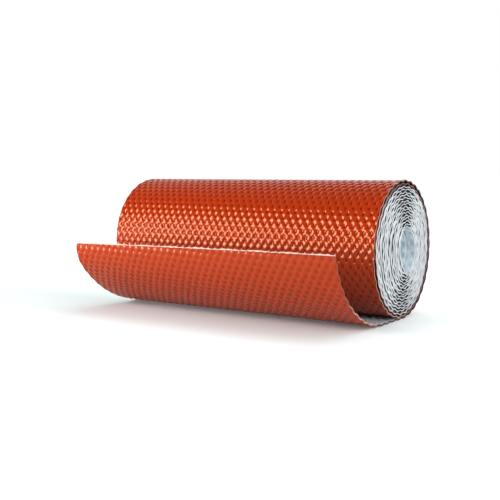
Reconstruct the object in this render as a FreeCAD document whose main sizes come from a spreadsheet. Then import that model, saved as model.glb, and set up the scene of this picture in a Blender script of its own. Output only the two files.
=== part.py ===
"""Roll of self-adhesive roof flashing, lying on its side with its free end curling up in front.

The strip is one piece: turns wound round an open bore, of which the outermost runs on, leaves the
roll at the bottom and becomes the free tail. A white release liner covers the strip's sticky
inner face and is a little wider than the strip. It shows inside the bore and on the inside of
the tail, and between the turns its edge stands out at both ends of the roll.

Frame: X along the roll's axis, Y away from the tail, Z up, millimetres. The origin is on the
floor under the middle of the whole object.
"""

import FreeCAD
import Part
import math
import os

import Sketcher

# The sketcher's own numbers for the points of a line or an arc, its origin and its upright axis.
START, END, CENTRE = range(1, 4)
ORIGIN_POINT = (-1, START)
UPRIGHT_AXIS = -2

# The driving dimensions, in millimetres and degrees: alias, value, what it is.
SIZES = [
    ("strip_width", "300", "width of the flashing strip, and so the length of the roll"),
    ("strip_thickness", "2.0", "strip with its relief, aluminium and adhesive together"),
    ("liner_thickness", "0.25", "release liner"),
    ("liner_overhang", "1.5", "how far the liner stands out past the strip's edges"),
    ("turn_slack", "0.45", "air left between one turn and the next"),
    ("turn_count", "18", "number of turns in the roll"),
    ("bore_radius", "19", "open middle of the roll, inside the innermost liner"),
    ("turn_relief", "2.5", "depth from the liner's edge to the foot of the step between turns"),
    ("tail_flat_run", "21", "stretch of the tail that lies flat on the floor"),
    ("lower_bend_radius", "138", "outer radius of the tail's first, wide bend"),
    ("lower_bend_angle", "44.5", "angle that the first bend turns through"),
    ("upper_bend_radius", "52", "outer radius of the tail's second, tighter bend"),
    ("upper_bend_angle", "41.5", "angle that the second bend turns through"),
]

# Sizes worked out from the driving dimensions, as expressions for the document.
STRIP_EDGE = "(sizes.strip_width / 2)"
LINER_EDGE = f"({STRIP_EDGE} + sizes.liner_overhang)"
LINED_THICKNESS = "(sizes.strip_thickness + sizes.liner_thickness)"
TURN_PITCH = f"({LINED_THICKNESS} + sizes.turn_slack)"
CORE_RADIUS = "(sizes.bore_radius + sizes.liner_thickness)"
ROLL_RADIUS = f"(sizes.bore_radius + sizes.turn_count * {TURN_PITCH})"

# The outermost turn is let into the turns below it, so that the two are one solid.
TURNS_RADIUS = f"({ROLL_RADIUS} - 1.2 * {TURN_PITCH})"
OUTER_TURN_BORE = f"({ROLL_RADIUS} - 1.35 * {TURN_PITCH})"

# The outside of the outermost turn is a spiral: four quarter arcs whose centres are the corners
# of a small square, so that each quarter turn comes in by a quarter of the pitch.
SPIRAL_OFFSET = f"({TURN_PITCH} / 8)"
SPIRAL_RADIUS = f"({ROLL_RADIUS} - {SPIRAL_OFFSET})"
SPIRAL_CORNERS = [(-1, -1), (1, -1), (1, 1), (-1, 1)]

TAIL_TURN = "(sizes.lower_bend_angle + sizes.upper_bend_angle)"
TAIL_REACH = (
    f"({SPIRAL_OFFSET} + sizes.tail_flat_run"
    " + (sizes.lower_bend_radius - sizes.upper_bend_radius) * sin(sizes.lower_bend_angle)"
    f" + sizes.upper_bend_radius * ({TAIL_TURN} > 90 ? 1 : sin({TAIL_TURN})))"
)
BACK_REACH = f"({ROLL_RADIUS} - 2 * {SPIRAL_OFFSET})"


def make_sheet(doc):
    """Writes the driving dimensions into a spreadsheet, each with its alias."""
    sheet = doc.addObject("Spreadsheet::Sheet", "sizes")
    for row, (alias, value, meaning) in enumerate(SIZES, start=1):
        sheet.set(f"A{row}", value)
        sheet.set(f"B{row}", meaning)
        sheet.setAlias(f"A{row}", alias)
    doc.recompute()
    return sheet


def worth(item, rule):
    """The present value of an expression, as a plain number."""
    return float(item.evalExpression(rule))


def origin_plane(body, role):
    """One of the body's own origin planes, found by its role."""
    return next(item for item in body.Origin.OriginFeatures if item.Role == role)


def new_sketch(body, name, role):
    """A sketch on one of the body's origin planes."""
    sketch = body.newObject("Sketcher::SketchObject", name)
    sketch.AttachmentSupport = (origin_plane(body, role), [""])
    sketch.MapMode = "FlatFace"
    return sketch


def bind(sketch, kind, *parts, rule):
    """Adds a dimension to the sketch and binds it to an expression."""
    value = worth(sketch, rule)
    if kind == "Angle":
        value = math.radians(value)
    index = sketch.addConstraint(Sketcher.Constraint(kind, *parts, value))
    sketch.setExpression(f"Constraints[{index}]", rule)


def bind_point(sketch, geometry, point, across, up):
    """Binds a point's place in the sketch to two expressions."""
    bind(sketch, "DistanceX", *ORIGIN_POINT, geometry, point, rule=across)
    bind(sketch, "DistanceY", *ORIGIN_POINT, geometry, point, rule=up)


def spot(across, up):
    """A point in a sketch."""
    return FreeCAD.Vector(across, up, 0)


def arc(centre, radius, start_degrees, end_degrees):
    """An arc that runs anticlockwise between two angles."""
    circle = Part.Circle(centre, FreeCAD.Vector(0, 0, 1), radius)
    return Part.ArcOfCircle(circle, math.radians(start_degrees), math.radians(end_degrees))


def polar(centre, radius, degrees):
    """The point at an angle on a circle."""
    angle = math.radians(degrees)
    return centre + spot(radius * math.cos(angle), radius * math.sin(angle))


def draw_outline(sketch, corners):
    """Draws a closed outline through corners, each a pair of expressions."""
    spots = [spot(worth(sketch, across), worth(sketch, up)) for across, up in corners]
    sides = [
        sketch.addGeometry(Part.LineSegment(start, end))
        for start, end in zip(spots, spots[1:] + spots[:1])
    ]
    for before, after in zip(sides, sides[1:] + sides[:1]):
        sketch.addConstraint(Sketcher.Constraint("Coincident", before, END, after, START))
    for side, (across, up) in zip(sides, corners):
        if across == "0":
            on_axis = Sketcher.Constraint("PointOnObject", side, START, UPRIGHT_AXIS)
            sketch.addConstraint(on_axis)
            bind(sketch, "DistanceY", *ORIGIN_POINT, side, START, rule=up)
        else:
            bind_point(sketch, side, START, across, up)
    return sides


def draw_circle(sketch, rule):
    """Draws a circle round the roll's axis, with its radius bound to an expression."""
    circle = Part.Circle(spot(0, 0), FreeCAD.Vector(0, 0, 1), worth(sketch, rule))
    index = sketch.addGeometry(circle)
    sketch.addConstraint(Sketcher.Constraint("Coincident", index, CENTRE, *ORIGIN_POINT))
    bind(sketch, "Radius", index, rule=rule)
    return index


def draw_spiral(sketch):
    """Draws the outside of the outermost turn, inwards from the floor. Returns its four arcs."""
    offset = worth(sketch, SPIRAL_OFFSET)
    radius = worth(sketch, SPIRAL_RADIUS)
    arcs = []
    for quarter, (across, up) in enumerate(SPIRAL_CORNERS):
        centre = spot(across * offset, up * offset)
        start = 270 + 90 * quarter
        bend = arc(centre, radius - 2 * offset * quarter, start, start + 90)
        arcs.append(sketch.addGeometry(bend))
    for item, (across, up) in zip(arcs, SPIRAL_CORNERS):
        across_rule, up_rule = (f"{side} * {SPIRAL_OFFSET}" for side in (across, up))
        bind_point(sketch, item, CENTRE, across_rule, up_rule)
    for before, after in zip(arcs, arcs[1:]):
        sketch.addConstraint(Sketcher.Constraint("Coincident", before, END, after, START))
    sketch.addConstraint(Sketcher.Constraint("Vertical", arcs[0], CENTRE, arcs[0], START))
    for item, line in zip(arcs, ("Horizontal", "Vertical", "Horizontal", "Vertical")):
        sketch.addConstraint(Sketcher.Constraint(line, item, CENTRE, item, END))
    bind(sketch, "Radius", arcs[0], rule=SPIRAL_RADIUS)
    return arcs


def draw_tail(sketch, outer_depth, inner_depth, upper_angle):
    """Draws one layer of the tail: flat on the floor, then a wide bend, then a tighter one.

    The layer lies between two depths, measured inwards from the strip's outer face. It is open
    where it meets the roll. Returns its outer and its inner flat line, which both start there.
    """
    turned = worth(sketch, "sizes.lower_bend_angle")
    wide = worth(sketch, "sizes.lower_bend_radius")
    tight = worth(sketch, "sizes.upper_bend_radius")
    root = -worth(sketch, SPIRAL_OFFSET)
    foot = root - worth(sketch, "sizes.tail_flat_run")
    floor = -worth(sketch, ROLL_RADIUS)
    tip = 270 - turned - worth(sketch, upper_angle)
    wide_centre = spot(foot, floor + wide)
    tight_centre = polar(wide_centre, wide - tight, 270 - turned)

    faces = []
    for depth in (worth(sketch, outer_depth), worth(sketch, inner_depth)):
        flat = Part.LineSegment(spot(root, floor + depth), spot(foot, floor + depth))
        lower = arc(wide_centre, wide - depth, 270 - turned, 270)
        upper = arc(tight_centre, tight - depth, tip, 270 - turned)
        faces.append([sketch.addGeometry(item) for item in (flat, lower, upper)])
    (out_flat, out_lower, out_upper), (in_flat, in_lower, in_upper) = faces
    tips = [sketch.getPoint(item, START) for item in (out_upper, in_upper)]
    edge = sketch.addGeometry(Part.LineSegment(*tips))

    for flat, lower, upper in faces:
        sketch.addConstraint(
            [
                Sketcher.Constraint("Horizontal", flat),
                Sketcher.Constraint("Coincident", flat, END, lower, END),
                Sketcher.Constraint("Vertical", lower, CENTRE, lower, END),
                Sketcher.Constraint("Tangent", lower, START, upper, END),
            ]
        )
    sketch.addConstraint(
        [
            Sketcher.Constraint("Coincident", out_lower, CENTRE, in_lower, CENTRE),
            Sketcher.Constraint("Coincident", out_upper, CENTRE, in_upper, CENTRE),
            Sketcher.Constraint("Coincident", edge, START, out_upper, START),
            Sketcher.Constraint("Coincident", edge, END, in_upper, START),
            Sketcher.Constraint("PointOnObject", out_upper, CENTRE, edge),
        ]
    )
    bind(sketch, "DistanceX", out_flat, END, out_flat, START, rule="sizes.tail_flat_run")
    bind(sketch, "Radius", out_lower, rule=f"sizes.lower_bend_radius - {outer_depth}")
    bind(sketch, "Radius", out_upper, rule=f"sizes.upper_bend_radius - {outer_depth}")
    bind(sketch, "Radius", in_upper, rule=f"sizes.upper_bend_radius - {inner_depth}")
    bind(sketch, "Angle", out_lower, rule="sizes.lower_bend_angle")
    bind(sketch, "Angle", out_upper, rule=upper_angle)
    return out_flat, in_flat


def close_root(sketch, line, line_end, inner_flat):
    """Closes a layer of the tail with an upright wall where it meets the roll."""
    corners = [sketch.getPoint(line, line_end), sketch.getPoint(inner_flat, START)]
    wall = sketch.addGeometry(Part.LineSegment(*corners))
    sketch.addConstraint(
        [
            Sketcher.Constraint("Coincident", line, line_end, wall, START),
            Sketcher.Constraint("Coincident", wall, END, inner_flat, START),
            Sketcher.Constraint("Vertical", wall),
        ]
    )
    return wall


def pad_across(body, sketch, name, width):
    """Pads a section to both sides of the roll's middle."""
    pad = body.newObject("PartDesign::Pad", name)
    pad.Profile = sketch
    pad.Midplane = True
    pad.setExpression("Length", width)
    return pad


def turns_outline(sheet):
    """Half the section of the wound turns, stepped at the end of the roll.

    In each turn the liner's edge stands out, and the end slopes from there to the foot of the
    step up to the next turn. The steps are rings at the mean radius of the spiral between turns.
    """
    step_foot = f"({LINER_EDGE} - sizes.turn_relief)"
    wound_turns = worth(sheet, f"({ROLL_RADIUS} - {CORE_RADIUS}) / {TURN_PITCH}")
    step_count = int(wound_turns - 0.75)
    corners = [("0", CORE_RADIUS), (STRIP_EDGE, CORE_RADIUS)]
    for step in range(step_count, 0, -1):
        radius = f"({ROLL_RADIUS} - {step + 0.5} * {TURN_PITCH})"
        foot = STRIP_EDGE if step == step_count else step_foot
        crest = STRIP_EDGE if step == 1 else LINER_EDGE
        corners += [(foot, radius), (crest, radius)]
    corners += [(STRIP_EDGE, TURNS_RADIUS), ("0", TURNS_RADIUS)]
    return corners


def wind_turns(body, sheet):
    """Turns the wound part of the roll: half of it, which is then mirrored to the other end."""
    sketch = new_sketch(body, "turns_section", "XY_Plane")
    draw_outline(sketch, turns_outline(sheet))
    half = body.newObject("PartDesign::Revolution", "half_of_turns")
    half.Profile = sketch
    half.ReferenceAxis = (sketch, ["H_Axis"])
    half.Angle = 360
    body.Document.recompute()
    half_volume = body.Shape.Volume
    turns = body.newObject("PartDesign::Mirrored", "turns")
    turns.Originals = [half]
    turns.MirrorPlane = (origin_plane(body, "YZ_Plane"), [""])
    body.Tip = turns
    body.Document.recompute()
    if not math.isclose(body.Shape.Volume, 2 * half_volume, rel_tol=1e-6):
        raise RuntimeError("the turns aren't mirrored to the other end")


def lay_outer_turn(body):
    """Lays the outermost turn round the others and runs it on into the free tail."""
    sketch = new_sketch(body, "outer_turn_section", "YZ_Plane")
    spiral = draw_spiral(sketch)
    outer_flat, inner_flat = draw_tail(
        sketch, "0", "sizes.strip_thickness", "sizes.upper_bend_angle"
    )
    leaves = Sketcher.Constraint("Coincident", spiral[0], START, outer_flat, START)
    sketch.addConstraint(leaves)
    close_root(sketch, spiral[-1], END, inner_flat)
    draw_circle(sketch, OUTER_TURN_BORE)
    pad_across(body, sketch, "outer_turn_and_tail", "sizes.strip_width")


def make_strip(doc, sheet):
    """The flashing strip, its turns and its tail, as one solid."""
    body = doc.addObject("PartDesign::Body", "flashing_strip")
    body.Label = "flashing_strip"
    wind_turns(body, sheet)
    lay_outer_turn(body)
    return body


def make_bore_liner(doc):
    """The liner of the innermost turn, which lines the bore."""
    body = doc.addObject("PartDesign::Body", "bore_liner")
    sketch = new_sketch(body, "bore_liner_section", "YZ_Plane")
    draw_circle(sketch, "sizes.bore_radius")
    draw_circle(sketch, CORE_RADIUS)
    pad_across(body, sketch, "bore_liner_film", f"2 * {LINER_EDGE}")
    return body


def make_tail_liner(doc):
    """The liner on the inner face of the tail. It stands out past the tail's three free edges."""
    body = doc.addObject("PartDesign::Body", "tail_liner")
    sketch = new_sketch(body, "tail_liner_section", "YZ_Plane")
    overhang_angle = (
        "180 / pi * sizes.liner_overhang / (sizes.upper_bend_radius - sizes.strip_thickness)"
    )
    upper_angle = f"(sizes.upper_bend_angle + {overhang_angle})"
    outer_flat, inner_flat = draw_tail(
        sketch, "sizes.strip_thickness", LINED_THICKNESS, upper_angle
    )
    wall = close_root(sketch, outer_flat, START, inner_flat)
    height = f"sizes.strip_thickness - {ROLL_RADIUS}"
    bind_point(sketch, wall, START, f"-{SPIRAL_OFFSET}", height)
    pad_across(body, sketch, "tail_liner_film", f"2 * {LINER_EDGE}")
    return body


def make_liner(doc):
    """The release liner: the two stretches of it that show."""
    liner = doc.addObject("Part::Compound", "release_liner")
    liner.Label = "release_liner"
    liner.Links = [make_bore_liner(doc), make_tail_liner(doc)]
    return liner


def stand_on_floor(piece):
    """Moves a piece from the roll's axis to its place over the origin."""
    piece.setExpression(".Placement.Base.y", f"({TAIL_REACH} - {BACK_REACH}) / 2")
    piece.setExpression(".Placement.Base.z", ROLL_RADIUS)


def check(doc, pieces):
    """Stops the build if an object failed or a piece isn't sound."""
    for item in doc.Objects:
        if {"Invalid", "Error"} & set(item.State):
            raise RuntimeError(f"{item.Name} failed: {item.State}")
        if item.isDerivedFrom("Sketcher::SketchObject") and item.solve() != 0:
            raise RuntimeError(f"the sketch {item.Name} has no solution")
    for piece in pieces:
        if piece.Shape.isNull() or not piece.Shape.isValid():
            raise RuntimeError(f"{piece.Label} has no valid shape")


def main():
    """Builds the document and writes one STEP file for each piece."""
    doc = FreeCAD.newDocument("flashing_roll")
    sheet = make_sheet(doc)
    pieces = [make_strip(doc, sheet), make_liner(doc)]
    for piece in pieces:
        stand_on_floor(piece)
    doc.recompute()
    check(doc, pieces)
    os.makedirs("parts", exist_ok=True)
    for piece in pieces:
        piece.Shape.exportStep(f"parts/{piece.Label}.step")
        box = piece.Shape.BoundBox
        print(
            f"{piece.Label}: {len(piece.Shape.Solids)} solid, {piece.Shape.Volume:.0f} mm3,"
            f" x {box.XMin:.2f} to {box.XMax:.2f}, y {box.YMin:.2f} to {box.YMax:.2f},"
            f" z {box.ZMin:.2f} to {box.ZMax:.2f}"
        )


main()
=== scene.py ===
"""Roll of roof flashing, dressed for the picture.

An embossed, self-adhesive strip is wound round an open bore, and its free end leaves the roll at
the bottom and curls up in front. Every piece follows one path: the strip's own, from the tip of
the tail, under the roll and on round it, turn by turn, to its inner end in the bore.

Lengths are in metres. X runs along the roll's axis, the tail lies towards -Y, and Z is up.
"""

import logging
import math
from dataclasses import dataclass, field
from enum import Enum
from typing import Callable

import bmesh
import bpy
import numpy as np
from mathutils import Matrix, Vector

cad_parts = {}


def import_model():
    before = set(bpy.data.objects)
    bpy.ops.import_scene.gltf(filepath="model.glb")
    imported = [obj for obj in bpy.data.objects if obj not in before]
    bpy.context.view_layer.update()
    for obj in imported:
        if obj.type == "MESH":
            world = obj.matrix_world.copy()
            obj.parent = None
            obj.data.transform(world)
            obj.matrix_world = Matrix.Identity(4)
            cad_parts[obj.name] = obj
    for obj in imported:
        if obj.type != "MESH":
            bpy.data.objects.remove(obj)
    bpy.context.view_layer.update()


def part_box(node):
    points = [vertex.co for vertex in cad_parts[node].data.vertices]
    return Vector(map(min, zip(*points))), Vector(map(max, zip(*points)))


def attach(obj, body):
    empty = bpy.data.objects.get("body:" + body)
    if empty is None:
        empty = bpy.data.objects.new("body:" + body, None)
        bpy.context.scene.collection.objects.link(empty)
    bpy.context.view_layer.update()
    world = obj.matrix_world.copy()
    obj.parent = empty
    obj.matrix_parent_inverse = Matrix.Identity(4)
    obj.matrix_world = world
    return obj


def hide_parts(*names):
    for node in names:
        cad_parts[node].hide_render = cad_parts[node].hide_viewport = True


LOG = logging.getLogger("flashing_roll")

MM = 0.001
TURN = 2.0 * math.pi


def smooth(share: np.ndarray) -> np.ndarray:
    """Eases a share from zero to one in and out."""
    return share * share * (3.0 - 2.0 * share)


class Side(Enum):
    """The two ends of the roll, each with its sign along X."""

    LEFT = -1.0
    RIGHT = 1.0


@dataclass(frozen=True)
class Emboss:
    """The pressed pattern: rounded bumps in staggered rows, with narrow valleys between them."""

    pitch_across: float = 7.86 * MM
    pitch_along: float = 12.55 * MM
    shift_across: float = -2.85 * MM
    depth: float = 1.20 * MM
    roundness: float = 1.55

    def height(self, x: np.ndarray, s: np.ndarray) -> np.ndarray:
        """Height of the pressed face, from zero on a bump's crown down to minus the depth.

        Args:
            x: place across the strip.
            s: place along the strip.

        Returns:
            The height at each place.
        """
        wave_across = np.cos(TURN * (x - self.shift_across) / self.pitch_across)
        wave_along = np.cos(TURN * s / self.pitch_along)
        wave = wave_across * wave_along
        return -self.depth * ((1.0 - wave) / 2.0) ** self.roundness


@dataclass(frozen=True)
class TailSection:
    """The free tail in section: a flat run on the floor, then two arcs that curl it up."""

    flat: float
    lower_radius: float
    lower_angle: float
    upper_radius: float
    upper_angle: float

    @property
    def length(self) -> float:
        """Length of the tail along its outer face."""
        curl = self.upper_angle - self.lower_angle
        return self.flat + self.lower_radius * self.lower_angle + self.upper_radius * curl


@dataclass(frozen=True)
class StripPath:
    """Where the strip runs: tail, then a spiral that winds inwards.

    Distance s is zero where the strip leaves the roll, negative on the tail and positive on the
    roll. The path is that of the outer, embossed face.
    """

    axis_y: float
    axis_z: float
    turn_pitch: float
    turns: float
    half_width: float
    left_tail: TailSection
    right_tail: TailSection
    emboss: Emboss = field(default_factory=Emboss)
    inner_end_recess: float = 8.5 * MM
    outer_thickness: float = 1.30 * MM
    inner_thickness: float = 2.35 * MM
    front_growth: float = 0.40 * MM
    pressed_thickness: float = 0.80 * MM
    tail_shift: float = -1.6 * MM
    core_shift: float = 4.2 * MM
    left_oval: float = 1.005
    right_oval: float = 1.03
    inner_oval: float = 0.88
    flare: float = 0.6 * MM
    flare_width: float = 9.0 * MM

    @property
    def wound_length(self) -> float:
        """Length of strip in the roll."""
        return self.distance(self.turns * TURN)

    def distance(self, angle: float) -> float:
        """Distance along the strip at which it has turned this far round the roll."""
        return self.axis_z * angle - self.turn_pitch * angle**2 / (2.0 * TURN)

    def radius(self, s: np.ndarray) -> np.ndarray:
        """Radius of the even spiral at each distance."""
        wound = np.clip(s, 0.0, None)
        return np.sqrt(np.maximum(self.axis_z**2 - self.turn_pitch * wound * 2.0 / TURN, 0.0))

    def depth_share(self, s: np.ndarray) -> np.ndarray:
        """How deep in the roll each place lies: zero in its outermost turn, one at its core."""
        core = self.axis_z - self.turn_pitch * self.turns
        start = self.axis_z - self.turn_pitch
        return np.clip((start - self.radius(s)) / (start - core), 0.0, 1.0)

    def shift(self, s: np.ndarray) -> np.ndarray:
        """How far the strip lies to the right: the core has slid out a little, the tail to the left."""
        off = np.clip((50.0 * MM - s) / (80.0 * MM), 0.0, 1.0)
        return self.tail_shift * smooth(off) + self.core_shift * self.depth_share(s)

    def lip(self, x: np.ndarray, s: np.ndarray) -> np.ndarray:
        """How far the outermost turn opens out towards its right cut edge."""
        edge = np.clip((x - self.half_width + self.flare_width) / self.flare_width, 0.0, 1.0)
        outer = np.clip(s / 0.03, 0.0, 1.0) * np.clip((self.distance(TURN) - s) / 0.03, 0.0, 1.0)
        return self.flare * smooth(edge) * smooth(outer)

    def tail_share(self, x: np.ndarray) -> np.ndarray:
        """Share of the right tail section at each place across the strip."""
        return np.clip(0.5 + x / (2.0 * self.half_width), -0.02, 1.02)

    def tail_length(self, x: np.ndarray) -> np.ndarray:
        """Length of the tail at each place across the strip."""
        share = self.tail_share(x)
        return self.left_tail.length * (1.0 - share) + self.right_tail.length * share

    def edge_place(self, s: np.ndarray) -> np.ndarray:
        """Half the strip's width at each distance, with the wander of a hand-wound roll's ends.

        Args:
            s: place along the strip.

        Returns:
            How far the strip's cut edge stands from the middle of the roll.
        """
        deep = np.clip((s - self.distance(TURN)) / 0.15, 0.0, 1.0)
        wander = 0.30 * MM * deep * (
            np.sin(s * 61.0 + 0.7) + 0.6 * np.sin(s * 23.3 + 2.1) + 0.4 * np.sin(s * 147.0 + 1.3)
        )
        start = self.wound_length - 0.062
        sunk = np.clip((s - start) / 0.012, 0.0, 1.0)
        return self.half_width + wander - self.inner_end_recess * smooth(sunk)

    def thickness(self, s: np.ndarray) -> np.ndarray:
        """Thickness of the strip: least in the outermost turn and the tail, and above and below the bore."""
        inner = np.clip((s - self.distance(TURN)) / self.distance(0.5 * TURN), 0.0, 1.0)
        angle = (self.axis_z - self.radius(s)) * TURN / self.turn_pitch
        pressed = np.maximum(np.cos(2.0 * angle), 0.0) ** 1.2
        full = self.inner_thickness + self.front_growth * np.maximum(-np.sin(angle), 0.0)
        wound = full + (self.pressed_thickness - full) * pressed
        return self.outer_thickness + (wound - self.outer_thickness) * inner

    def sway(self, s: np.ndarray) -> np.ndarray:
        """How far each inner turn lies off its even spiral."""
        deep = np.clip((s - self.distance(1.1 * TURN)) / 0.2, 0.0, 1.0)
        return 0.16 * MM * deep * (np.sin(s * 34.0 + 0.4) + np.sin(s * 78.0 + 1.9))

    def frame_at(self, x: np.ndarray, s: np.ndarray) -> tuple[np.ndarray, ...]:
        """Point and outward direction of the smooth outer face, in the YZ plane.

        Args:
            x: place across the strip.
            s: place along the strip.

        Returns:
            Y and Z of the point, then Y and Z of the outward direction.
        """
        share = self.tail_share(x)

        def mixed(name: str) -> np.ndarray:
            """One size of the tail's section at each place across."""
            left, right = getattr(self.left_tail, name), getattr(self.right_tail, name)
            return left * (1.0 - share) + right * share

        flat, low_r, low_a, top_r = (
            mixed("flat"),
            mixed("lower_radius"),
            mixed("lower_angle"),
            mixed("upper_radius"),
        )
        run = np.maximum(-s, 0.0)
        first = np.clip((run - flat) / low_r, 0.0, low_a)
        second = np.maximum((run - flat - low_r * low_a) / top_r, 0.0)
        bend = low_a + second
        tail_y = -(np.minimum(run, flat) + low_r * np.sin(first) + top_r * (np.sin(bend) - np.sin(low_a)))
        tail_z = low_r * (1.0 - np.cos(first)) + top_r * (np.cos(low_a) - np.cos(bend))
        tail_turn = first + second

        even = self.radius(s)
        angle = (self.axis_z - even) * TURN / self.turn_pitch
        radius = even + self.sway(s) + self.lip(x, s)
        outer_oval = self.left_oval + (self.right_oval - self.left_oval) * share
        oval = outer_oval + (self.inner_oval - outer_oval) * self.depth_share(s)

        on_tail = s < 0.0
        y = self.axis_y + np.where(on_tail, tail_y, oval * radius * np.sin(angle))
        z = np.where(on_tail, tail_z, self.axis_z - radius * np.cos(angle))
        out_y = np.where(on_tail, -np.sin(tail_turn), np.sin(angle))
        out_z = np.where(on_tail, -np.cos(tail_turn), -np.cos(angle))
        return y, z, out_y, out_z

    def place(self, x: np.ndarray, s: np.ndarray, depth: np.ndarray,
              relief: float | np.ndarray = 1.0) -> np.ndarray:
        """Points of the strip, at a depth below its outer face.

        Args:
            x: place across the strip.
            s: place along the strip.
            depth: depth below the outer face.
            relief: share of the pressed pattern that shows at that depth.

        Returns:
            One row of X, Y and Z for each point.
        """
        y, z, out_y, out_z = self.frame_at(x, s)
        lift = relief * self.emboss.height(x, s) - depth
        return np.stack([x + self.shift(s), y + out_y * lift, z + out_z * lift], axis=1)


class NodeBoard:
    """A material with a Principled shader and short ways to add and join nodes."""

    def __init__(self, name: str) -> None:
        """Starts a material of this name."""
        self.material = bpy.data.materials.new(name)
        self.material.use_nodes = True
        self.nodes = self.material.node_tree.nodes
        self.links = self.material.node_tree.links
        self.shader = self.nodes["Principled BSDF"]

    def add(self, kind: str, **settings: object) -> bpy.types.Node:
        """Adds a node of this kind and sets its properties."""
        node = self.nodes.new(kind)
        for key, value in settings.items():
            setattr(node, key, value)
        return node

    def join(self, start: bpy.types.NodeSocket, end: bpy.types.NodeSocket) -> None:
        """Joins an output socket to an input socket."""
        self.links.new(start, end)

    def set_shader(self, **values: object) -> None:
        """Sets the shader's own sockets, named with underscores for spaces."""
        for key, value in values.items():
            self.shader.inputs[key.replace("_", " ")].default_value = value

    def ramp(self, stops: list[tuple[float, tuple[float, float, float]]]) -> bpy.types.Node:
        """Adds a colour ramp.

        Args:
            stops: position and linear colour of each stop, from left to right.

        Returns:
            The ramp's node.
        """
        node = self.add("ShaderNodeValToRGB")
        ramp = node.color_ramp
        while len(ramp.elements) < len(stops):
            ramp.elements.new(0.5)
        for element, (position, colour) in zip(ramp.elements, stops):
            element.position = position
            element.color = (*colour, 1.0)
        return node

    def noise(self, scale: float, detail: float = 3.0, source: str = "Object") -> bpy.types.Node:
        """Adds a noise texture on the piece's own coordinates."""
        where = self.add("ShaderNodeTexCoord")
        node = self.add("ShaderNodeTexNoise")
        node.inputs["Scale"].default_value = scale
        node.inputs["Detail"].default_value = detail
        self.join(where.outputs[source], node.inputs["Vector"])
        return node


@dataclass(frozen=True)
class PaintedFoil:
    """Brick-red stoving paint on thin pressed aluminium: semi-gloss, a little darker in the valleys with
    painted shade.
    """

    name: str = "painted_foil"
    crown: tuple[float, float, float] = (0.345, 0.026, 0.003)
    valley_shade: tuple[float, float, float] = (0.18, 0.009, 0.001)
    edge_tone: tuple[float, float, float] = (0.10, 0.020, 0.012)
    shine: tuple[float, float, float] = (1.0, 0.82, 0.52)
    edge_width: float = 0.25 * MM
    roughness: float = 0.11
    rim_roughness: float = 0.7
    metallic: float = 0.08

    def build(self) -> bpy.types.Material:
        """Makes the paint."""
        board = NodeBoard(self.name)
        height = board.add("ShaderNodeAttribute", attribute_name="height")
        # Painted shade: the colour runs from the crown's down to the darker valley shade in the pits.
        ramp = board.ramp([(0.0, self.valley_shade), (0.18, self.valley_shade), (0.40, self.crown), (1.0, self.crown)])
        board.join(height.outputs["Fac"], ramp.inputs["Fac"])
        cloud = board.noise(28.0)
        shade = board.add("ShaderNodeHueSaturation")
        board.join(ramp.outputs["Color"], shade.inputs["Color"])
        level = board.add("ShaderNodeMapRange")
        level.inputs["To Min"].default_value = 0.93
        level.inputs["To Max"].default_value = 1.07
        board.join(cloud.outputs["Fac"], level.inputs["Value"])
        board.join(level.outputs["Result"], shade.inputs["Value"])
        inset = board.add("ShaderNodeAttribute", attribute_name="inset")
        rim = board.add("ShaderNodeMapRange")
        rim.inputs["From Min"].default_value = self.edge_width
        rim.inputs["From Max"].default_value = 0.6 * self.edge_width
        board.join(inset.outputs["Fac"], rim.inputs["Value"])
        # Darker and rougher within edge_width of a cut edge.
        edge_toned = board.add("ShaderNodeMix", data_type="RGBA")
        edge_toned.inputs[7].default_value = (*self.edge_tone, 1.0)
        board.join(rim.outputs["Result"], edge_toned.inputs["Factor"])
        board.join(shade.outputs["Color"], edge_toned.inputs[6])
        board.join(edge_toned.outputs[2], board.shader.inputs["Base Color"])
        dull = board.add("ShaderNodeMapRange")
        dull.inputs["To Min"].default_value = self.roughness
        dull.inputs["To Max"].default_value = self.rim_roughness
        board.join(rim.outputs["Result"], dull.inputs["Value"])
        board.join(dull.outputs["Result"], board.shader.inputs["Roughness"])
        grain = board.noise(1400.0, 2.0)
        bump = board.add("ShaderNodeBump")
        bump.inputs["Strength"].default_value = 0.12
        bump.inputs["Distance"].default_value = 0.0002
        board.join(grain.outputs["Fac"], bump.inputs["Height"])
        board.join(bump.outputs["Normal"], board.shader.inputs["Normal"])
        board.set_shader(Metallic=self.metallic, Specular_Tint=(*self.shine, 1.0), Specular_IOR_Level=0.62)
        return board.material


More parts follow.
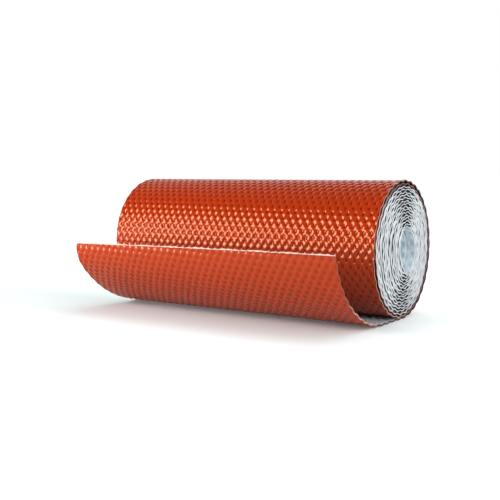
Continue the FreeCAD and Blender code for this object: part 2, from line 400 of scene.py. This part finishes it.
@dataclass(frozen=True)
class CutEdge:
    """The strip's cut edge: a thin line of foil, then backing, with painted shade, near black, deep in the
    gaps behind it.

    The backing is pinkish along the free tail and dark on the outermost turn. From the end of the tail's
    flat run round the back of the outermost turn, painted shade makes the whole edge dark, foil line too; on
    the second turn painted shade darkens it round the back to the top. Then it is creamy, and further in it
    is covered by pale film.
    """

    foil: tuple[float, float, float] = (0.78, 0.46, 0.38)
    red: tuple[float, float, float] = (0.34, 0.085, 0.050)
    body: tuple[float, float, float] = (0.060, 0.030, 0.032)
    flank: tuple[float, float, float] = (0.60, 0.33, 0.27)
    cream: tuple[float, float, float] = (0.78, 0.64, 0.60)
    second_turn_shade: tuple[float, float, float] = (0.26, 0.14, 0.15)
    film: tuple[float, float, float] = (0.73, 0.82, 0.87)
    smear: tuple[float, float, float] = (0.55, 0.60, 0.65)
    gap_shade: tuple[float, float, float] = (0.020, 0.012, 0.014)
    gap_shade_depth: float = 1.3 * MM

    def step(self, board: NodeBoard, value: bpy.types.NodeSocket, start: float,
             end: float) -> bpy.types.NodeSocket:
        """Adds a step from 0 at start to 1 at end."""
        node = board.add("ShaderNodeMapRange", interpolation_type="SMOOTHSTEP")
        node.inputs["From Min"].default_value = start
        node.inputs["From Max"].default_value = end
        board.join(value, node.inputs["Value"])
        return node.outputs["Result"]

    def mix(self, board: NodeBoard, share: bpy.types.NodeSocket, first: bpy.types.NodeSocket,
            second: bpy.types.NodeSocket | tuple[float, float, float]) -> bpy.types.NodeSocket:
        """Adds a mix from the first colour to the second."""
        node = board.add("ShaderNodeMix", data_type="RGBA")
        board.join(share, node.inputs["Factor"])
        board.join(first, node.inputs[6])
        if isinstance(second, tuple):
            node.inputs[7].default_value = (*second, 1.0)
        else:
            board.join(second, node.inputs[7])
        return node.outputs[2]

    def stretches(self) -> tuple:
        """Each stretch of the strip: where it begins, how soft that is, and its colours by depth."""
        creamy = [(0.0, self.foil), (0.12, self.foil), (0.24, self.cream), (1.0, self.cream)]
        return (
            (-1.0, 0.01, [(0.0, self.red), (1.0, self.red)]),
            (-0.115, 0.02, [(0.0, self.red), (0.2, self.flank), (1.0, self.flank)]),
            # Painted shade: all dark from the end of the flat run round the back of the outermost turn.
            (-0.058, 0.006, [(0.0, self.body), (1.0, self.body)]),
            (0.20, 0.02, [(0.0, self.foil), (0.42, self.foil), (0.50, self.body), (1.0, self.body)]),
            # Painted shade: darker from the bottom of the second turn round its back to the top.
            (0.43, 0.02, [(0.0, self.body), (0.1, self.body), (0.25, self.second_turn_shade), (1.0, self.second_turn_shade)]),
            (0.67, 0.03, creamy),
            (0.80, 0.10, [(0.0, self.foil), (0.05, self.foil), (0.14, self.film), (1.0, self.film)]),
        )

    def build(self) -> bpy.types.Material:
        """Makes the edge's finish, which reads the depth below the painted face."""
        board = NodeBoard("cut_edge")
        depth = board.add("ShaderNodeAttribute", attribute_name="depth")
        place = board.add("ShaderNodeUVMap", uv_map="strip")
        split = board.add("ShaderNodeSeparateXYZ")
        board.join(place.outputs["UV"], split.inputs["Vector"])
        body = None
        for begin, ease, stops in self.stretches():
            ramp = board.ramp(stops)
            board.join(depth.outputs["Fac"], ramp.inputs["Fac"])
            if body is None:
                body = ramp.outputs["Color"]
                continue
            past = self.step(board, split.outputs["Y"], begin - ease, begin + ease)
            body = self.mix(board, past, body, ramp.outputs["Color"])
        cloud = board.noise(160.0, 3.0)
        tone = board.ramp([(0.35, self.smear), (0.55, (1.0, 1.0, 1.0)), (1.0, (1.0, 1.0, 1.0))])
        board.join(cloud.outputs["Fac"], tone.inputs["Fac"])
        blend = board.add("ShaderNodeMix", data_type="RGBA", blend_type="MULTIPLY")
        blend.inputs["Factor"].default_value = 0.6
        board.join(body, blend.inputs[6])
        board.join(tone.outputs["Color"], blend.inputs[7])
        inset = board.add("ShaderNodeAttribute", attribute_name="inset")
        # Painted shade: past gap_shade_depth in from the cut edge, the colour turns near black.
        dark = self.step(board, inset.outputs["Fac"], 0.45 * self.gap_shade_depth, self.gap_shade_depth)
        shown = self.mix(board, dark, blend.outputs[2], self.gap_shade)
        board.join(shown, board.shader.inputs["Base Color"])
        lumps = board.noise(900.0, 3.0)
        bump = board.add("ShaderNodeBump")
        bump.inputs["Strength"].default_value = 0.4
        bump.inputs["Distance"].default_value = 0.0003
        board.join(lumps.outputs["Fac"], bump.inputs["Height"])
        board.join(bump.outputs["Normal"], board.shader.inputs["Normal"])
        board.set_shader(Roughness=0.55)
        return board.material


@dataclass(frozen=True)
class LinerFilm:
    """White, faintly blue release film with soft smears; where it stands past the tail's tip it is painted
    darker and pink, a painted reflection of the red paint.
    """

    name: str = "liner_film"
    white: tuple[float, float, float] = (0.80, 0.92, 0.97)
    smear: tuple[float, float, float] = (0.63, 0.73, 0.80)
    tip: tuple[float, float, float] = (0.66, 0.42, 0.36)

    def build(self) -> bpy.types.Material:
        """Makes the film."""
        board = NodeBoard(self.name)
        cloud = board.noise(45.0, 4.0)
        ramp = board.ramp([(0.30, self.smear), (0.55, self.white), (1.0, self.white)])
        board.join(cloud.outputs["Fac"], ramp.inputs["Fac"])
        inset = board.add("ShaderNodeAttribute", attribute_name="inset")
        inside = board.add("ShaderNodeMapRange")
        inside.inputs["From Min"].default_value = -0.1 * MM
        inside.inputs["From Max"].default_value = 0.1 * MM
        board.join(inset.outputs["Fac"], inside.inputs["Value"])
        # Painted reflection: past the tail's tip the film takes the darker pink tip colour.
        shown = board.add("ShaderNodeMix", data_type="RGBA")
        shown.inputs[6].default_value = (*self.tip, 1.0)
        board.join(inside.outputs["Result"], shown.inputs["Factor"])
        board.join(ramp.outputs["Color"], shown.inputs[7])
        board.join(shown.outputs[2], board.shader.inputs["Base Color"])
        board.set_shader(Roughness=0.42)
        return board.material


@dataclass
class Laid:
    """Where a sheet's points go, with what the finishes read."""

    points: np.ndarray
    x: np.ndarray
    s: np.ndarray
    depth: np.ndarray
    height: np.ndarray
    inset: np.ndarray


Placer = Callable[[np.ndarray, np.ndarray], Laid]


def true_normals(place: Placer, across: np.ndarray, along: np.ndarray,
                 cell: tuple[float, float]) -> np.ndarray:
    """Exact surface directions of a laid sheet, so that its gloss doesn't show its grid.

    Args:
        place: gives where the points go.
        across: each point's share across the grid.
        along: each point's share along the grid.
        cell: share of the grid that one cell takes, across and along.

    Returns:
        One unit direction for each point.
    """
    reach = 0.2
    over = place(across + reach * cell[0], along).points - place(across - reach * cell[0], along).points
    down = place(across, along + reach * cell[1]).points - place(across, along - reach * cell[1]).points
    normal = np.cross(over, down)
    return normal / np.maximum(np.linalg.norm(normal, axis=1, keepdims=True), 1e-12)


def lay_sheet(
    name: str,
    columns: int,
    rows: int,
    place: Placer,
    material: bpy.types.Material,
    flip: bool = False,
    exact: bool = False,
) -> bpy.types.Object:
    """Makes a flat grid and lays it along the strip's path.

    Args:
        name: name of the piece.
        columns: cells across the sheet.
        rows: cells along the sheet.
        place: gives where the points go, from their shares across and along the grid.
        material: the sheet's finish.
        flip: turns its faces to the other side.
        exact: shades it by the surface's exact directions.

    Returns:
        The new object.
    """
    shape = bmesh.new()
    bmesh.ops.create_grid(shape, x_segments=columns, y_segments=rows, size=1.0)
    if flip:
        bmesh.ops.reverse_faces(shape, faces=shape.faces[:])
    mesh = bpy.data.meshes.new(name)
    shape.to_mesh(mesh)
    shape.free()
    flat = np.empty(len(mesh.vertices) * 3)
    mesh.vertices.foreach_get("co", flat)
    flat = flat.reshape(-1, 3)
    across, along = (flat[:, 0] + 1.0) / 2.0, (flat[:, 1] + 1.0) / 2.0
    laid = place(across, along)
    mesh.vertices.foreach_set("co", laid.points.ravel())
    corner = np.empty(len(mesh.loops), dtype=np.int32)
    mesh.loops.foreach_get("vertex_index", corner)
    uv = mesh.uv_layers.new(name="strip")
    uv.data.foreach_set("uv", np.stack([laid.x, laid.s], axis=1)[corner].ravel())
    for label, values in (("depth", laid.depth), ("height", laid.height), ("inset", laid.inset)):
        layer = mesh.attributes.new(label, "FLOAT", "POINT")
        layer.data.foreach_set("value", values.astype(np.float32))
    mesh.materials.append(material)
    mesh.shade_smooth()
    mesh.update()
    if exact:
        normals = true_normals(place, across, along, (1.0 / columns, 1.0 / rows)) * (-1.0 if flip else 1.0)
        mesh.normals_split_custom_set_from_vertices(normals.tolist())
    piece = bpy.data.objects.new(name, mesh)
    bpy.context.scene.collection.objects.link(piece)
    return piece


@dataclass
class FlashingRoll:
    """The wound strip and its liner, laid along one path."""

    path: StripPath
    liner_thickness: float = 0.22 * MM
    liner_gap: float = 0.30 * MM
    tip_overhang: float = 0.85 * MM
    edge_step: float = 1.2 * MM
    floor_inset: float = 7.0 * MM
    flap_length: float = 9.0 * MM
    paint: bpy.types.Material = field(init=False)
    tail_paint: bpy.types.Material = field(init=False)
    edge: bpy.types.Material = field(init=False)
    film: bpy.types.Material = field(init=False)
    shaded_tail_film: bpy.types.Material = field(init=False)

    def __post_init__(self) -> None:
        """Makes the finishes."""
        self.paint = PaintedFoil().build()
        # The tail's paint: nearly the same, with less painted shade in its valleys.
        self.tail_paint = PaintedFoil(
            name="tail_paint",
            crown=(0.350, 0.027, 0.003),
            valley_shade=(0.29, 0.018, 0.002),
        ).build()
        self.edge = CutEdge().build()
        self.film = LinerFilm().build()
        # Painted shade: the tail's film is a darker copy of the white film.
        self.shaded_tail_film = LinerFilm(
            name="shaded_tail_film",
            white=(0.54, 0.59, 0.64),
            smear=(0.47, 0.52, 0.57),
        ).build()

    def laid(self, x: np.ndarray, s: np.ndarray, depth: np.ndarray, relief: float | np.ndarray = 1.0,
             inset: np.ndarray | None = None) -> Laid:
        """Points on the path, with what the finishes read.

        Args:
            x: place across the strip.
            s: place along the strip.
            depth: depth below the painted face.
            relief: share of the pressed pattern that shows.
            inset: distance in from the nearest cut edge, worked out where it isn't given.

        Returns:
            The points and their values.
        """
        emboss = self.path.emboss
        if inset is None:
            inset = np.minimum(self.path.half_width - np.abs(x), s + self.path.tail_length(x))
        return Laid(
            points=self.path.place(x, s, depth, relief),
            x=x,
            s=s,
            depth=depth / self.path.thickness(s),
            height=1.0 + emboss.height(x, s) / emboss.depth,
            inset=inset,
        )

    def turn_face(self, name: str, start: float, end: float, columns: int, rows: int) -> bpy.types.Object:
        """The pressed, painted face of part of the outermost turn.

        Args:
            name: name of the piece.
            start: how far round the roll it starts, in turns.
            end: how far round it ends.
            columns: cells across.
            rows: cells along.

        Returns:
            The new object.
        """
        first, last = self.path.distance(start * TURN), self.path.distance(end * TURN)

        def place(across: np.ndarray, along: np.ndarray) -> Laid:
            """Lays the grid round the roll."""
            s = first + along * (last - first)
            x = (2.0 * across - 1.0) * self.path.half_width
            return self.laid(x, s, np.zeros_like(x))

        return lay_sheet(name, columns, rows, place, self.paint, flip=True, exact=True)

    def tail_face(self) -> bpy.types.Object:
        """The pressed, painted face of the free tail."""

        def place(across: np.ndarray, along: np.ndarray) -> Laid:
            """Lays the grid from the tip of the tail to the departure."""
            x = (2.0 * across - 1.0) * self.path.half_width
            s = -(1.0 - along) * self.path.tail_length(x)
            return self.laid(x, s, np.zeros_like(x))

        return lay_sheet("tail_face", 330, 200, place, self.tail_paint, flip=True, exact=True)

    def tail_tip(self) -> bpy.types.Object:
        """The cut edge along the tip of the tail."""

        def place(across: np.ndarray, along: np.ndarray) -> Laid:
            """Lays the grid through the strip's thickness."""
            x = (2.0 * across - 1.0) * self.path.half_width
            depth = along * self.path.outer_thickness
            return self.laid(x, -self.path.tail_length(x), depth)

        return lay_sheet("tail_tip", 300, 5, place, self.edge)

    def tail_liner(self) -> bpy.types.Object:
        """The film on the tail's inner face, white film painted darker with shade, which stands a little
        past its tip.
        """

        def place(across: np.ndarray, along: np.ndarray) -> Laid:
            """Lays the film."""
            x = (2.0 * across - 1.0) * (self.path.half_width - 0.4 * MM)
            ragged = 0.35 * np.sin(x * 190.0 + 0.5) + 0.25 * np.sin(x * 797.0)
            tip = self.path.tail_length(x) + self.tip_overhang * (1.0 + ragged)
            s = -tip + along * (tip + 0.004)
            return self.laid(x, s, np.full_like(x, self.path.outer_thickness))

        piece = lay_sheet("tail_liner", 240, 90, place, self.shaded_tail_film)
        self.thicken(piece, self.liner_thickness)
        return piece

    def thicken(self, piece: bpy.types.Object, thickness: float) -> None:
        """Gives a sheet its thickness, on the side that its faces point to."""
        solidify = piece.modifiers.new("thickness", "SOLIDIFY")
        solidify.thickness = thickness
        solidify.offset = 1.0

    def cut_rim(self, side: Side) -> bpy.types.Object:
        """The strip's cut edge at one end of the roll, all its turns and the tail's side."""
        outs = np.array([-1.2, -0.3, 0.0, 0.0, 0.0, -1.2]) * MM
        depths = np.array([0.9, 0.25, 0.0, 0.3, 1.0, 0.94])
        tip = float(self.path.tail_length(np.array([side.value * self.path.half_width]))[0])
        length = self.path.wound_length + tip

        def place(across: np.ndarray, along: np.ndarray) -> Laid:
            """Sweeps the edge's profile along the strip, from the tail's tip to the bore."""
            spot = across * (len(outs) - 1)
            s = -tip + along * length
            out = np.interp(spot, np.arange(len(outs)), outs)
            depth = np.interp(spot, np.arange(len(outs)), depths) * self.path.thickness(s)
            x = side.value * (self.path.edge_place(s) + out)
            return self.laid(x, s, depth, inset=-out)

        name = f"cut_rim_{side.name.lower()}"
        rows = int(length / self.edge_step)
        piece = lay_sheet(name, len(outs) - 1, rows, place, self.edge, flip=side is Side.RIGHT)
        piece.data.set_sharp_from_angle(angle=math.radians(50.0))
        return piece

    def shade_floor(self, side: Side) -> bpy.types.Object:
        """Painted shade: a near-black ribbon deep in the gaps between the turns at one end of the roll,
        where there is only shade.
        """
        start, end = self.path.distance(0.05 * TURN), self.path.wound_length
        first_turn = self.path.distance(TURN)
        last_turns = [self.path.distance((self.path.turns - count) * TURN) for count in (2.0, 1.0)]

        def place(across: np.ndarray, along: np.ndarray) -> Laid:
            """Lays a ribbon that follows the spiral and bridges the space between the turns."""
            s = start + along * (end - start)
            reach = np.where(s > last_turns[0], 1.05 * self.path.turn_pitch, 1.5 * self.path.turn_pitch)
            reach = np.where(s > last_turns[1], self.path.thickness(s), reach)
            near = np.where(s > first_turn, 0.0, 0.8 * MM)
            depth = near + across * (reach - near)
            x = side.value * (self.path.edge_place(s) - self.floor_inset)
            return self.laid(x, s, depth, relief=0.5, inset=np.full_like(x, self.floor_inset))

        name = f"shade_floor_{side.name.lower()}"
        return lay_sheet(name, 2, 1600, place, self.edge, flip=side is Side.RIGHT)

    def bore_lining(self) -> bpy.types.Object:
        """The film on the inside of the innermost turn, with the free flap at its end."""
        end = self.path.wound_length
        start = self.path.distance((self.path.turns - 1.6) * TURN)

        def place(across: np.ndarray, along: np.ndarray) -> Laid:
            """Lays the lining along the last turns, and lets its end curl inwards."""
            s = start + along * (end + self.flap_length - start)
            loose = np.maximum(s - end, 0.0) / self.flap_length
            x = (2.0 * across - 1.0) * (self.path.edge_place(s) - 0.2 * MM)
            depth = self.path.thickness(s) + self.liner_gap + 3.0 * MM * loose * loose
            inside = np.clip((self.path.edge_place(s) - np.abs(x) - 2.0 * MM) / (3.0 * MM), 0.0, 1.0)
            return self.laid(x, s, depth, relief=1.0 - 0.6 * smooth(inside))

        return lay_sheet("bore_lining", 260, 190, place, self.film)

    def inner_end(self) -> bpy.types.Object:
        """The cut end of the strip inside the bore."""
        end = self.path.wound_length

        def place(across: np.ndarray, along: np.ndarray) -> Laid:
            """Lays the grid through the strip's thickness."""
            s = np.full_like(across, end)
            x = (2.0 * across - 1.0) * self.path.edge_place(s)
            return self.laid(x, s, along * self.path.thickness(s), inset=np.zeros_like(x))

        return lay_sheet("inner_end", 160, 4, place, self.edge, flip=True)

    def build(self) -> None:
        """Builds every piece, sets what each rides on, and reports it."""
        strip = [
            self.turn_face("turn_front", 0.42, 1.03, 330, 300),
            self.turn_face("turn_back", 0.0, 0.42, 300, 180),
            self.tail_face(),
            self.tail_tip(),
            self.inner_end(),
        ]
        strip += [self.cut_rim(side) for side in Side]
        strip += [self.shade_floor(side) for side in Side]
        film = [self.tail_liner(), self.bore_lining()]
        for pieces, node in ((strip, "flashing_strip"), (film, "release_liner")):
            for piece in pieces:
                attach(piece, "root")
                LOG.info("%s: %d faces", piece.name, len(piece.data.polygons))
            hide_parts(node)


@dataclass
class Studio:
    """White floor and backdrop, soft lamps and the camera."""

    target: Vector
    camera_place: Vector = field(default_factory=lambda: Vector((0.4761, -0.7549, 0.1428)))
    yaw: float = 0.5641
    pitch: float = 0.08975
    lens: float = 63.61
    sky_fill: float = 0.42
    low_fill: float = 0.12
    overhead: float = 0.95
    softbox: float = 12.6
    side_fill: float = 8.5
    front_fill: float = 8.0
    floor_shade: tuple[float, float, float] = (0.755, 0.81, 0.81)
    floor_bounce: tuple[float, float, float] = (0.62, 0.62, 0.60)
    shade_box_middle: tuple[float, float, float] = (-0.09, -0.06, 0.0)
    shade_box_half_size: tuple[float, float, float] = (0.22, 0.03, 0.0)
    near_glow: tuple[float, ...] = (0.0, 0.07, 0.03, 0.19)
    far_glow: tuple[float, ...] = (0.03, 0.18, 0.0, 0.35)

    def floor(self) -> bpy.types.Object:
        """A wide white floor that shows white to the camera and keeps the shadow."""
        shape = bmesh.new()
        bmesh.ops.create_grid(shape, x_segments=8, y_segments=8, size=20.0)
        mesh = bpy.data.meshes.new("floor")
        shape.to_mesh(mesh)
        shape.free()
        board = NodeBoard("floor_white")
        board.set_shader(Base_Color=(*self.floor_shade, 1.0), Roughness=0.9, Specular_IOR_Level=0.0)
        out = board.nodes["Material Output"]
        seen = board.add("ShaderNodeLightPath")
        glow = board.add("ShaderNodeEmission")
        board.join(self.glow_level(board), glow.inputs["Strength"])
        total = board.add("ShaderNodeAddShader")
        board.join(board.shader.outputs["BSDF"], total.inputs[0])
        board.join(glow.outputs["Emission"], total.inputs[1])
        bounce = board.add("ShaderNodeBsdfDiffuse")
        bounce.inputs["Color"].default_value = (*self.floor_bounce, 1.0)
        pick = board.add("ShaderNodeMixShader")
        board.join(seen.outputs["Is Camera Ray"], pick.inputs["Fac"])
        board.join(bounce.outputs["BSDF"], pick.inputs[1])
        board.join(total.outputs["Shader"], pick.inputs[2])
        board.join(pick.outputs["Shader"], out.inputs["Surface"])
        mesh.materials.append(board.material)
        floor = bpy.data.objects.new("floor", mesh)
        bpy.context.scene.collection.objects.link(floor)
        return floor

    def glow_level(self, board: NodeBoard) -> bpy.types.NodeSocket:
        """Painted light: how much white glow the camera sees over the floor's own shade. It is least in a
        box under the tail that reaches off to the left of the roll, which leaves painted shade on the floor
        there.

        Args:
            board: the floor's material.

        Returns:
            The glow's strength, which grows with the distance from that box. Each glow is given as its two
            distances, then its strength at each.
        """
        where = board.add("ShaderNodeTexCoord")
        middle = board.add("ShaderNodeVectorMath", operation="SUBTRACT")
        middle.inputs[1].default_value = self.shade_box_middle
        board.join(where.outputs["Object"], middle.inputs[0])
        size = board.add("ShaderNodeVectorMath", operation="ABSOLUTE")
        board.join(middle.outputs["Vector"], size.inputs[0])
        past = board.add("ShaderNodeVectorMath", operation="SUBTRACT")
        past.inputs[1].default_value = self.shade_box_half_size
        board.join(size.outputs["Vector"], past.inputs[0])
        least = board.add("ShaderNodeVectorMath", operation="MAXIMUM")
        least.inputs[1].default_value = (0.0, 0.0, 0.0)
        board.join(past.outputs["Vector"], least.inputs[0])
        away = board.add("ShaderNodeVectorMath", operation="LENGTH")
        board.join(least.outputs["Vector"], away.inputs[0])
        near = board.add("ShaderNodeMapRange", interpolation_type="SMOOTHSTEP")
        far = board.add("ShaderNodeMapRange", interpolation_type="SMOOTHSTEP")
        for node, limits in ((near, self.near_glow), (far, self.far_glow)):
            for key, value in zip(("From Min", "From Max", "To Min", "To Max"), limits):
                node.inputs[key].default_value = value
            board.join(away.outputs["Value"], node.inputs["Value"])
        both = board.add("ShaderNodeMath", operation="ADD")
        board.join(near.outputs["Result"], both.inputs[0])
        board.join(far.outputs["Result"], both.inputs[1])
        return both.outputs["Value"]

    def world(self) -> None:
        """Even fill from all round, white to the camera and in reflections near the horizon."""
        world = bpy.data.worlds.new("studio")
        world.use_nodes = True
        nodes, links = world.node_tree.nodes, world.node_tree.links
        where = nodes.new("ShaderNodeTexCoord")
        split = nodes.new("ShaderNodeSeparateXYZ")
        links.new(where.outputs["Generated"], split.inputs["Vector"])
        behind = self.world_range(world, split.outputs["Y"], 0.05, 0.50, 1.5)
        low = self.world_range(world, split.outputs["Z"], 0.80, 0.25, 1.0)
        both = nodes.new("ShaderNodeMath")
        both.operation = "MULTIPLY_ADD"
        links.new(behind.outputs["Result"], both.inputs[0])
        links.new(low.outputs["Result"], both.inputs[1])
        both.inputs[2].default_value = 0.04
        layers = {}
        for name in ("fill", "mirror", "white"):
            layers[name] = nodes.new("ShaderNodeBackground")
            layers[name].inputs["Color"].default_value = (1.0, 1.0, 1.0, 1.0)
        links.new(both.outputs["Value"], layers["mirror"].inputs["Strength"])
        above = self.world_range(world, split.outputs["Z"], -0.1, 0.7, self.sky_fill)
        above.inputs["To Min"].default_value = self.low_fill
        links.new(above.outputs["Result"], layers["fill"].inputs["Strength"])
        seen = nodes.new("ShaderNodeLightPath")
        glossy = nodes.new("ShaderNodeMixShader")
        links.new(seen.outputs["Is Glossy Ray"], glossy.inputs["Fac"])
        links.new(layers["fill"].outputs["Background"], glossy.inputs[1])
        links.new(layers["mirror"].outputs["Background"], glossy.inputs[2])
        pick = nodes.new("ShaderNodeMixShader")
        links.new(seen.outputs["Is Camera Ray"], pick.inputs["Fac"])
        links.new(glossy.outputs["Shader"], pick.inputs[1])
        links.new(layers["white"].outputs["Background"], pick.inputs[2])
        links.new(pick.outputs["Shader"], nodes["World Output"].inputs["Surface"])
        bpy.context.scene.world = world

    def world_range(self, world: bpy.types.World, value: bpy.types.NodeSocket, start: float, end: float,
                    top: float) -> bpy.types.Node:
        """Adds a smooth step from 0 at start to top at end."""
        node = world.node_tree.nodes.new("ShaderNodeMapRange")
        node.interpolation_type = "SMOOTHSTEP"
        node.inputs["From Min"].default_value = start
        node.inputs["From Max"].default_value = end
        node.inputs["To Max"].default_value = top
        world.node_tree.links.new(value, node.inputs["Value"])
        return node

    def sun(self) -> None:
        """Adds broad, even light from above and a little behind."""
        data = bpy.data.lights.new("overhead", "SUN")
        data.energy = self.overhead
        data.angle = math.radians(70.0)
        lamp = bpy.data.objects.new("overhead", data)
        bpy.context.scene.collection.objects.link(lamp)
        lamp.rotation_euler = Vector((0.45, 0.40, 1.0)).to_track_quat("Z", "Y").to_euler()
        lamp.visible_glossy = False

    def lamp(self, name: str, direction: Vector, distance: float, width: float, height: float, power: float,
             shines: bool = True) -> None:
        """Adds a soft area lamp that faces the object.

        Args:
            name: name of the lamp.
            direction: from the object to the lamp.
            distance: how far off it stands.
            width: its width.
            height: its height.
            power: its power in watts.
            shines: whether gloss shows it.
        """
        data = bpy.data.lights.new(name, "AREA")
        data.shape = "RECTANGLE"
        data.size = width
        data.size_y = height
        data.energy = power
        lamp = bpy.data.objects.new(name, data)
        bpy.context.scene.collection.objects.link(lamp)
        lamp.location = self.target + direction.normalized() * distance
        lamp.rotation_euler = (self.target - lamp.location).to_track_quat("-Z", "Y").to_euler()
        lamp.visible_glossy = shines

    def camera(self) -> None:
        """The camera at the picture's viewpoint."""
        data = bpy.data.cameras.new("camera")
        data.sensor_width = 36.0
        data.lens = self.lens
        data.clip_start = 0.01
        data.clip_end = 50.0
        camera = bpy.data.objects.new("camera", data)
        bpy.context.scene.collection.objects.link(camera)
        camera.location = self.camera_place
        camera.rotation_euler = (math.pi / 2.0 - self.pitch, 0.0, self.yaw)
        bpy.context.scene.camera = camera

    def build(self) -> None:
        """Builds the studio."""
        self.floor()
        self.world()
        self.sun()
        self.lamp("softbox", Vector((-0.533, -0.780, 0.305)), 1.1, 0.72, 0.62, self.softbox)
        self.lamp("front_fill", Vector((-0.45, -0.85, -0.01)), 1.2, 1.2, 0.1, self.front_fill, shines=False)
        self.lamp("side_fill", Vector((1.0, -0.35, 0.30)), 1.3, 0.9, 0.9, self.side_fill, shines=False)
        self.camera()
        bpy.context.scene.view_settings.view_transform = "Standard"


def main() -> None:
    """Loads the frame and builds the roll and the studio."""
    logging.basicConfig(level=logging.INFO, format="%(name)s %(message)s")
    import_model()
    low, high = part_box("flashing_strip")
    height = high.z - low.z
    turn_pitch = 2.7 * MM
    radius = (height + 0.5 * turn_pitch) / 2.0
    axis_y = high.y - (radius - 0.25 * turn_pitch)
    path = StripPath(
        axis_y=axis_y,
        axis_z=radius,
        turn_pitch=turn_pitch,
        turns=17.42,
        half_width=150.6 * MM,
        left_tail=TailSection(19.1 * MM, 131.2 * MM, 0.8482, 33.6 * MM, 1.6357),
        right_tail=TailSection(38.8 * MM, 114.6 * MM, 0.6949, 87.5 * MM, 1.3214),
    )
    LOG.info("roll radius %.5f, axis y %.5f, %.3f m wound", radius, axis_y, path.wound_length)
    FlashingRoll(path).build()
    Studio(target=Vector((0.0, 0.0, radius))).build()


if __name__ == "__main__":
    main()
